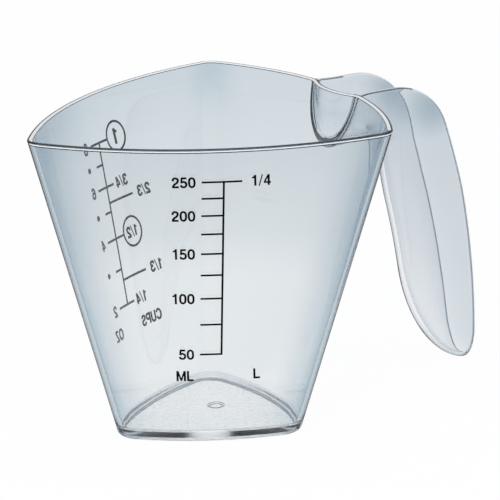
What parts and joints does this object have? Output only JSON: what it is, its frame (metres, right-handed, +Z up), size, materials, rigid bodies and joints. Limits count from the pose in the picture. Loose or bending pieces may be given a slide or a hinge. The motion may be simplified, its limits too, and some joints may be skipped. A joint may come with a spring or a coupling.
{
  "type": "measuring cup",
  "caption": "Clear measuring cup with a rounded triangular plan, flared sides, a bent open-trough handle and printed millilitre, litre, cup and ounce marks.",
  "frame": {"origin": "middle of the flat underside, on the surface that the cup stands on", "axes": "+Z up, +X from the vessel towards its handle, XZ is the vessel's mirror plane"},
  "size_m": [0.1368, 0.0966, 0.0882],
  "materials": {
    "clear_cup": "clear moulded plastic with a cool tint, polished",
    "clear_handle": "clear moulded plastic with a cool tint, polished",
    "print_ink": "screen-printed ink, satin"
  },
  "bodies": {
    "root": {"cup_body": "clear_cup", "handle": "clear_handle", "metric_scale_lines": "print_ink", "metric_scale_numerals": "print_ink", "cup_ounce_scale_lines": "print_ink", "cup_ounce_scale_numerals": "print_ink"}
  },
  "joints": []
}
